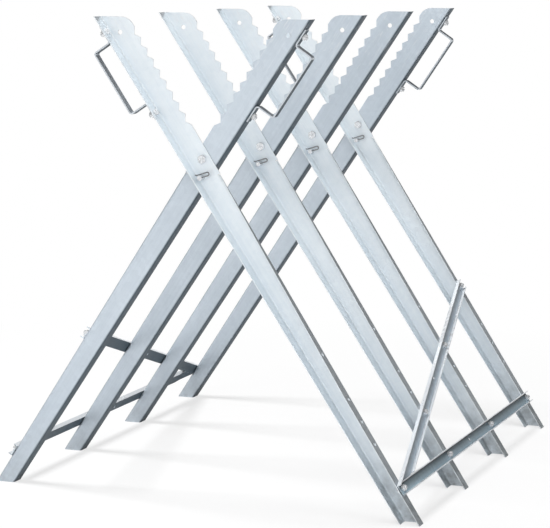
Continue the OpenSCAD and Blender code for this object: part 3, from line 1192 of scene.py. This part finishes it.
@dataclass
class SheetPieces:
    """Legs, rails, braces and handles of one half, with their edges softened."""

    rack: Rack
    sizes: StandSizes
    sheet_round: float = 0.25 * MM
    strip_round: float = 0.4 * MM
    # painted shade: how much the legs darken towards their feet
    leg_foot_shade: float = 0.30
    # painted shade: the rails' coat is far darker than the braces', though both are the same zinc
    # strip
    rail_shade_coat: ChannelCoat = ChannelCoat(
        pale=(0.25, 0.32, 0.36), dull=(0.15, 0.20, 0.235), shade_gains=(3.0, 0.15), specular=0.22,
    )
    brace_coat: ChannelCoat = ChannelCoat(
        pale=(0.70, 0.79, 0.87), dull=(0.54, 0.63, 0.71), shade_gains=(1.32, 0.34), specular=0.4,
    )

    def turned(self, direction: Vector) -> Vector:
        """Turns a right half's direction to this half."""
        return self.rack.turn.to_3x3() @ direction

    def leg_run(self) -> Vector:
        """Direction of the legs, from foot to jaw."""
        lean = (self.sizes.inner_tilt + self.sizes.outer_tilt) / 2
        return self.turned(Vector((-math.sin(lean), 0, math.cos(lean))))

    def first_edge(self) -> Matrix:
        """Frame of the outer edge line of the half's first leg."""
        return self.rack.turn @ self.sizes.edge(1, True)

    def leg_look(self) -> Material:
        """Coat of the legs, with painted shade on their outer faces and towards their feet.

        Returns:
            The new material.
        """
        edge = self.first_edge()
        return ZincFinish(
            f"{self.rack.value}_leg_zinc", self.leg_run(), *self.rack.lit_and_shaded_tones,
            fade=self.leg_foot_shade, foot_grime_and_shade=self.rack.foot_grime_and_shade,
            side=OuterSideShade(edge.translation, edge.col[0].to_3d()),
        ).material()

    def channel_look(self, kind: str, run: Vector, coat: ChannelCoat) -> Material:
        """Coat of a channel strip that starts at the first rail bolt, with painted shade and light
        across its open side.

        Args:
            kind: kind of strip, for the material's name.
            run: direction of the strip.
            coat: its tones.

        Returns:
            The new material.
        """
        edge = self.first_edge()
        out = edge.col[0].to_3d()
        middle = edge @ Vector((0, -self.sizes.bolt_line, self.sizes.rail_s))
        return ZincFinish(
            f"{self.rack.value}_{kind}_zinc", run, coat.pale, coat.dull,
            metallic=coat.metallic, specular=coat.specular, foot_reach=coat.foot_reach,
            wiped=True, side=TroughShade(middle, out.cross(run), out, coat.shade_gains),
        ).material()

    def build(self, shop: Workshop) -> None:
        """Makes and fits the half's sheet pieces.

        Args:
            shop: where pieces are linked.
        """
        side, hand = self.rack.value, self.rack.jaw_side
        leg = self.leg_look()
        rail = self.channel_look("rail", self.turned(Vector((0, 1, 0))), self.rail_shade_coat)
        brace = self.channel_look("brace", self.turned(self.sizes.brace_run), self.brace_coat)
        strip = ZincFinish(f"{side}_handle_zinc", self.leg_run()).material()
        plan = [(f"{side}_leg_{n}", leg, Slot.SHEET, self.sheet_round) for n in self.sizes.rows]
        plan += [
            (f"{side}_foot_rail", rail, Slot.CHANNEL, self.sheet_round),
            (f"{side}_diagonal_brace", brace, Slot.CHANNEL, self.sheet_round),
            (f"handle_{hand}_front", strip, Slot.STRIP, self.strip_round),
            (f"handle_{hand}_rear", strip, Slot.STRIP, self.strip_round),
        ]
        for node, look, slot, width in plan:
            shape = Shape()
            shape.softened(shop.nodes[node], width)
            parts = [(shape.mesh(node), Matrix.Identity(4))]
            piece = shop.place(f"{node}_dressed", parts, look)
            shop.fit(piece, node, self.rack.body)


@dataclass(frozen=True)
class HexSet:
    """Sizes of a hexagon bolt and its nut."""

    diameter: float
    flats: float
    head: float
    nut: float
    pitch: float
    tip: float = 3 * MM
    head_lap: float = 0.3 * MM
    bore_gap: float = 0.05 * MM

    def bolt(self, under: float, seat: float) -> Mesh:
        """Bolt along z, its head at the lower end.

        Args:
            under: level of the head's upper face.
            seat: level that the nut sits on.

        Returns:
            The finished mesh.
        """
        shape = Shape()
        shape.hexagon(self.flats, under - self.head, under)
        end = seat + self.nut + self.tip
        shape.thread(self.diameter / 2, under - self.head_lap, end, self.pitch)
        return shape.mesh("hex_bolt")

    def hex_nut(self, seat: float) -> Mesh:
        """Nut along z.

        Args:
            seat: level that it sits on.

        Returns:
            The finished mesh.
        """
        shape = Shape()
        bore = self.diameter / 2 + self.bore_gap
        shape.hexagon(self.flats, seat, seat + self.nut, bore)
        return shape.mesh("hex_nut")


@dataclass
class FlangeBolts:
    """Bolts and nuts of the rails, braces and handles of one half."""

    rack: Rack
    sizes: StandSizes
    look: Material
    hexes: HexSet = HexSet(
        diameter=6 * MM, flats=10 * MM, head=4 * MM, nut=5 * MM, pitch=1 * MM,
    )
    strip: float = 1.5 * MM
    handle_strip: float = 2.5 * MM
    handle_length: float = 120 * MM
    handle_drop: float = 19 * MM
    handle_tab: float = 30 * MM
    handle_bolt: float = 18 * MM

    def spot(self, number: int, outer: bool, slope: float) -> Matrix:
        """Place of a bolt on a leg's flange, its z out of the leg.

        Args:
            number: frame of the leg.
            outer: on the outer flange, or else on the inner one.
            slope: distance up the edge from the floor.

        Returns:
            The place.
        """
        edge = self.rack.turn @ self.sizes.edge(number, outer)
        out = Matrix.Rotation(QUARTER_TURN if outer else -QUARTER_TURN, 4, "Y")
        return edge @ Matrix.Translation((0, -self.sizes.bolt_line, slope)) @ out

    def rail_spots(self) -> list[tuple[Matrix, float]]:
        """Places of the rail and brace bolts, which share the first one.

        Returns:
            Each place with the thickness that its bolt clamps.
        """
        low, spots = self.sizes.rail_s, []
        for number in self.sizes.rows:
            climb = (number - 1) * self.sizes.brace_step
            spots.append((self.spot(number, True, low), self.strip if climb else 2 * self.strip))
            if climb:
                spots.append((self.spot(number, True, low + climb), self.strip))
        return spots

    def handle_spots(self) -> list[tuple[Matrix, float]]:
        """Places of the handle bolts.

        Returns:
            Each place with the thickness that its bolt clamps.
        """
        upper = self.sizes.inner_length - self.handle_drop - self.handle_tab
        lower = upper - self.handle_length
        return [
            (self.spot(number, False, slope), self.handle_strip)
            for number in (1, self.sizes.frames)
            for slope in (lower - self.handle_bolt, upper + self.handle_bolt)
        ]

    def build(self, shop: Workshop) -> None:
        """Makes and fits the half's bolts and nuts.

        Args:
            shop: where pieces are linked.
        """
        groups = {
            f"{self.rack.value}_rail": self.rail_spots(),
            f"{self.rack.jaw_side}_handle": self.handle_spots(),
        }
        for group, spots in groups.items():
            bolts = [(self.hexes.bolt(-self.sizes.sheet, stack), spot) for spot, stack in spots]
            nuts = [(self.hexes.hex_nut(stack), spot) for spot, stack in spots]
            for kind, parts in (("bolts", bolts), ("nuts", nuts)):
                piece = shop.place(f"{group}_{kind}_threaded", parts, self.look)
                shop.fit(piece, f"{group}_{kind}", self.rack.body)


@dataclass
class Pivots:
    """Pivot bolts, washers and lock nuts at the four crossings."""

    sizes: StandSizes
    look: Material
    hexes: HexSet = HexSet(
        diameter=8 * MM, flats=13 * MM, head=5.3 * MM, nut=8 * MM, pitch=1.25 * MM,
    )
    washer: float = 16 * MM
    washer_t: float = 1.6 * MM
    washer_gap: float = 0.2 * MM
    washer_edge: float = 0.25 * MM
    washer_steps: int = 48
    play: float = 0.3 * MM

    def spots(self) -> list[Matrix]:
        """Places of the pivots, z to the rear.

        Returns:
            A place for each frame.
        """
        turn, height = Matrix.Rotation(-QUARTER_TURN, 4, "X"), self.sizes.pivot_z
        return [
            Matrix.Translation((0, self.sizes.frame_y(number), height)) @ turn
            for number in self.sizes.rows
        ]

    def ring(self, low: float, high: float) -> Mesh:
        """Washer along z with soft edges.

        Args:
            low: level of its lower face.
            high: level of its upper face.

        Returns:
            The finished mesh.
        """
        inner, outer = self.hexes.diameter / 2 + self.washer_gap, self.washer / 2
        soft = self.washer_edge
        shape = Shape()
        shape.lathe([
            (inner, low), (outer - soft, low), (outer, low + soft), (outer, high - soft),
            (outer - soft, high), (inner + soft, high), (inner, high - soft),
        ], self.washer_steps)
        return shape.mesh("pivot_washer")

    def build(self, shop: Workshop) -> None:
        """Makes and fits the pivots.

        Args:
            shop: where pieces are linked.
        """
        front, rest = -self.sizes.web_back, self.sizes.web_back + self.play
        seat = rest + self.washer_t
        meshes = {
            "pivot_bolts": self.hexes.bolt(front, seat),
            "pivot_washers": self.ring(rest, seat),
            "pivot_nuts": self.hexes.hex_nut(seat),
        }
        for node, mesh in meshes.items():
            parts = [(mesh, spot) for spot in self.spots()]
            piece = shop.place(f"{node}_turned", parts, self.look)
            shop.fit(piece, node, Rack.RIGHT.body)


@dataclass
class Locks:
    """Locking pins and their spring clips."""

    sizes: StandSizes
    pin_look: Material
    wire_look: Material
    pin_d: float = 8 * MM
    pin_round: float = 0.35 * MM
    pin_travel: float = 8 * MM
    clip_wire: float = 2 * MM
    clip_reach: float = 14 * MM
    clip_tail: float = 5.2 * MM
    clip_slant: float = math.radians(18)
    clip_gap: float = 0.75 * MM
    clip_web_gap: float = 0.4 * MM
    loop_steps: int = 20
    flare: float = math.radians(40)
    flare_r: float = 5 * MM
    flare_steps: int = 6

    def clip(self) -> Mesh:
        """Straight leg through the pin, a loop, and an outer leg with a flared end.

        Returns:
            The finished mesh, with the pin's axis at the origin.
        """
        loop_r = (self.pin_d / 2 + self.clip_gap + self.clip_wire / 2) / 2
        cap = sum(Shape.END_STEPS) * self.clip_wire / 2
        start = Matrix.Translation((-self.clip_tail, 0, 0)) @ Matrix.Rotation(QUARTER_TURN, 4, "Y")
        shape = Shape()
        shape.wire(start @ Matrix.Rotation(math.pi, 4, "Z"), self.clip_wire / 2, [
            self.clip_tail + self.clip_reach - cap, Bend(loop_r, math.pi, self.loop_steps),
            self.clip_reach + self.pin_d / 2, Bend(-self.flare_r, -self.flare, self.flare_steps),
        ])
        return shape.mesh("spring_clip")

    def build(self, shop: Workshop) -> None:
        """Makes and fits the pins and clips.

        Args:
            shop: where pieces are linked.
        """
        front = self.sizes.web_back + self.pin_travel + self.clip_web_gap + self.clip_wire / 2
        tilted = Matrix.Rotation(-self.clip_slant, 4, "Y") @ Matrix.Translation((0, -front, 0))
        height = self.sizes.pivot_z - self.sizes.pin_drop
        clip = self.clip()
        for number in self.sizes.rows:
            pin = Shape()
            pin.softened(shop.nodes[f"lock_pin_{number}"], self.pin_round)
            parts = [(pin.mesh("lock_pin"), Matrix.Identity(4))]
            piece = shop.place(f"lock_pin_{number}_turned", parts, self.pin_look)
            shop.fit(piece, f"lock_pin_{number}", f"lock_pin_{number}")
            spot = Matrix.Translation((0, self.sizes.frame_y(number), height)) @ tilted
            piece = shop.place(f"lock_clip_{number}_wire", [(clip, spot)], self.wire_look)
            shop.fit(piece, f"lock_clip_{number}", f"lock_clip_{number}")


@dataclass(frozen=True)
class Lamp:
    """A soft square lamp, and whether glossy surfaces mirror it."""

    name: str
    place: Triple
    aim: Triple
    size: float
    power: float
    mirrored: bool = False


@dataclass
class Studio:
    """Pale floor, soft lamps, plain world and the camera."""

    focal_px: float = 2240.9
    centre_px: tuple[float, float] = (274.6, 260.1)
    frame_px: tuple[int, int] = (550, 528)
    sensor: float = 36.0
    far_clip: float = 200.0
    azimuth: float = math.radians(20.75)
    elevation: float = math.radians(7.93)
    roll: float = math.radians(0.31)
    distance: float = 4.0565
    target: Triple = (-0.0241, 0.0, 0.3528)
    floor_r: float = 60.0
    floor_sides: int = 96
    floor_tone: Colour = (0.76, 0.76, 0.76)
    floor_matt: float = 0.9
    floor_white: Span = Span(0.5, 1.5, 0.72, 1.0)
    backdrop: float = 8.0
    sky_from: Triple = (0.05, -0.90, 0.43)
    sky: tuple[tuple[float, float], ...] = ((0.15, 0.05), (0.60, 0.26), (1.0, 0.34))
    lamps: tuple[Lamp, ...] = (
        Lamp("key_lamp", (1.1, -5.6, 2.8), aim=(0.0, 0.0, 0.4), size=4.6, power=165.0),
        Lamp(
            "side_lamp", (2.6, -4.0, 2.4), aim=(0.0, 0.0, 0.35), size=3.2, power=24.0,
            mirrored=True,
        ),
        Lamp("top_lamp", (-1.5, -0.25, 5.15), aim=(0.0, 0.0, 0.4), size=1.6, power=310.0),
    )

    def pale_look(self) -> Material:
        """Pale matt surface that takes the shadow near the stand and turns white away from it.

        Returns:
            The new material.
        """
        board = Board("pale_floor")
        board.feed(board.surface.inputs["Base Color"], self.floor_tone)
        board.surface.inputs["Roughness"].default_value = self.floor_matt
        board.surface.inputs["Specular IOR Level"].default_value = 0.0
        glow = board.node("ShaderNodeEmission")
        glow.inputs["Strength"].default_value = 1.0
        rays = board.node("ShaderNodeLightPath").outputs
        seen = board.math(Op.MAXIMUM, rays["Is Camera Ray"], rays["Is Glossy Ray"])
        seen = board.math(Op.MAXIMUM, seen, rays["Is Transmission Ray"])
        far = board.node("ShaderNodeVectorMath", operation="LENGTH")
        board.feed(far.inputs[0], board.place.outputs["Object"])
        white = board.span(far.outputs["Value"], self.floor_white)
        both = board.node("ShaderNodeMixShader")
        board.feed(both.inputs[0], board.math(Op.MULTIPLY, seen, white))
        board.feed(both.inputs[1], board.surface.outputs[0])
        board.feed(both.inputs[2], glow.outputs[0])
        board.feed(board.output.inputs["Surface"], both.outputs[0])
        return board.material

    def floor(self) -> None:
        """Round floor with a low backdrop round its far edge."""
        bm = bmesh.new()
        bmesh.ops.create_circle(bm, cap_ends=True, segments=self.floor_sides, radius=self.floor_r)
        rim = bmesh.ops.extrude_edge_only(bm, edges=bm.edges[:])
        bmesh.ops.translate(bm, verts=only(Vert, rim["geom"]), vec=(0, 0, self.backdrop))
        mesh = bpy.data.meshes.new("floor")
        bm.to_mesh(mesh)
        bm.free()
        ground = bpy.data.objects.new("floor", mesh)
        bpy.context.scene.collection.objects.link(ground)
        mesh.materials.append(self.pale_look())

    def world(self) -> None:
        """Soft light that is dim behind the stand and grows to the front."""
        world = bpy.data.worlds.new("studio")
        bpy.context.scene.world = world
        world.use_nodes = True
        tree = world.node_tree
        place, facing = tree.nodes.new("ShaderNodeTexCoord"), tree.nodes.new("ShaderNodeVectorMath")
        facing.operation = "DOT_PRODUCT"
        facing.inputs[1].default_value = self.sky_from
        climb = tree.nodes.new("ShaderNodeValToRGB")
        stops = climb.color_ramp.elements
        while len(stops) < len(self.sky):
            stops.new(0.5)
        for stop, (position, level) in zip(stops, self.sky):
            stop.position = position
            stop.color = (level, level, level, 1.0)
        tree.links.new(place.outputs["Generated"], facing.inputs[0])
        tree.links.new(facing.outputs["Value"], climb.inputs[0])
        tree.links.new(climb.outputs[0], tree.nodes["Background"].inputs["Color"])

    def light(self) -> None:
        """Soft square lamps, each turned to its target."""
        for lamp in self.lamps:
            light = bpy.data.lights.new(lamp.name, "AREA")
            light.shape, light.size, light.energy = "SQUARE", lamp.size, lamp.power
            made = bpy.data.objects.new(lamp.name, light)
            bpy.context.scene.collection.objects.link(made)
            made.location = lamp.place
            made.visible_glossy = lamp.mirrored
            aim = Vector(lamp.aim) - Vector(lamp.place)
            made.rotation_euler = aim.to_track_quat("-Z", "Y").to_euler()

    def camera(self) -> None:
        """Camera at the picture's angle and framing."""
        back = Vector((
            math.sin(self.azimuth) * math.cos(self.elevation),
            -math.cos(self.azimuth) * math.cos(self.elevation),
            math.sin(self.elevation),
        ))
        right = UP.cross(back).normalized()
        up = back.cross(right)
        cos, sin = math.cos(self.roll), math.sin(self.roll)
        axes = Matrix((right * cos + up * sin, up * cos - right * sin, back)).transposed()
        lens = bpy.data.cameras.new("camera")
        wide, high = self.frame_px
        lens.sensor_fit, lens.sensor_width = "HORIZONTAL", self.sensor
        lens.lens = self.focal_px / wide * self.sensor
        lens.shift_x = (wide / 2 - self.centre_px[0]) / wide
        lens.shift_y = (self.centre_px[1] - high / 2) / wide
        lens.clip_end = self.far_clip
        made = bpy.data.objects.new("camera", lens)
        bpy.context.scene.collection.objects.link(made)
        place = Vector(self.target) + back * self.distance
        made.matrix_world = Matrix.Translation(place) @ axes.to_4x4()
        bpy.context.scene.camera = made

    def build(self) -> None:
        """Sets up the whole studio."""
        self.camera()
        self.floor()
        self.world()
        self.light()
        bpy.context.scene.view_settings.view_transform = "Standard"


def main() -> None:
    """Builds the stand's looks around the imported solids."""
    logging.basicConfig(level=logging.INFO, format="%(name)s: %(message)s")
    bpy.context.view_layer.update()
    sizes = StandSizes()
    shop = Workshop(frame["nodes"])
    Studio().build()
    plated = PlatedFinish("bright_plate").material()
    turned = PlatedFinish(
        "turned_plate", light=(0.84, 0.86, 0.88), dark=(0.52, 0.54, 0.57), metallic=0.85,
        sheen=(0.14, 0.30),
    ).material()
    for rack in Rack:
        SheetPieces(rack, sizes).build(shop)
        FlangeBolts(rack, sizes, plated).build(shop)
    Pivots(sizes, turned).build(shop)
    Locks(sizes, turned, WireFinish("spring_steel").material()).build(shop)


if __name__ == "__main__":
    main()
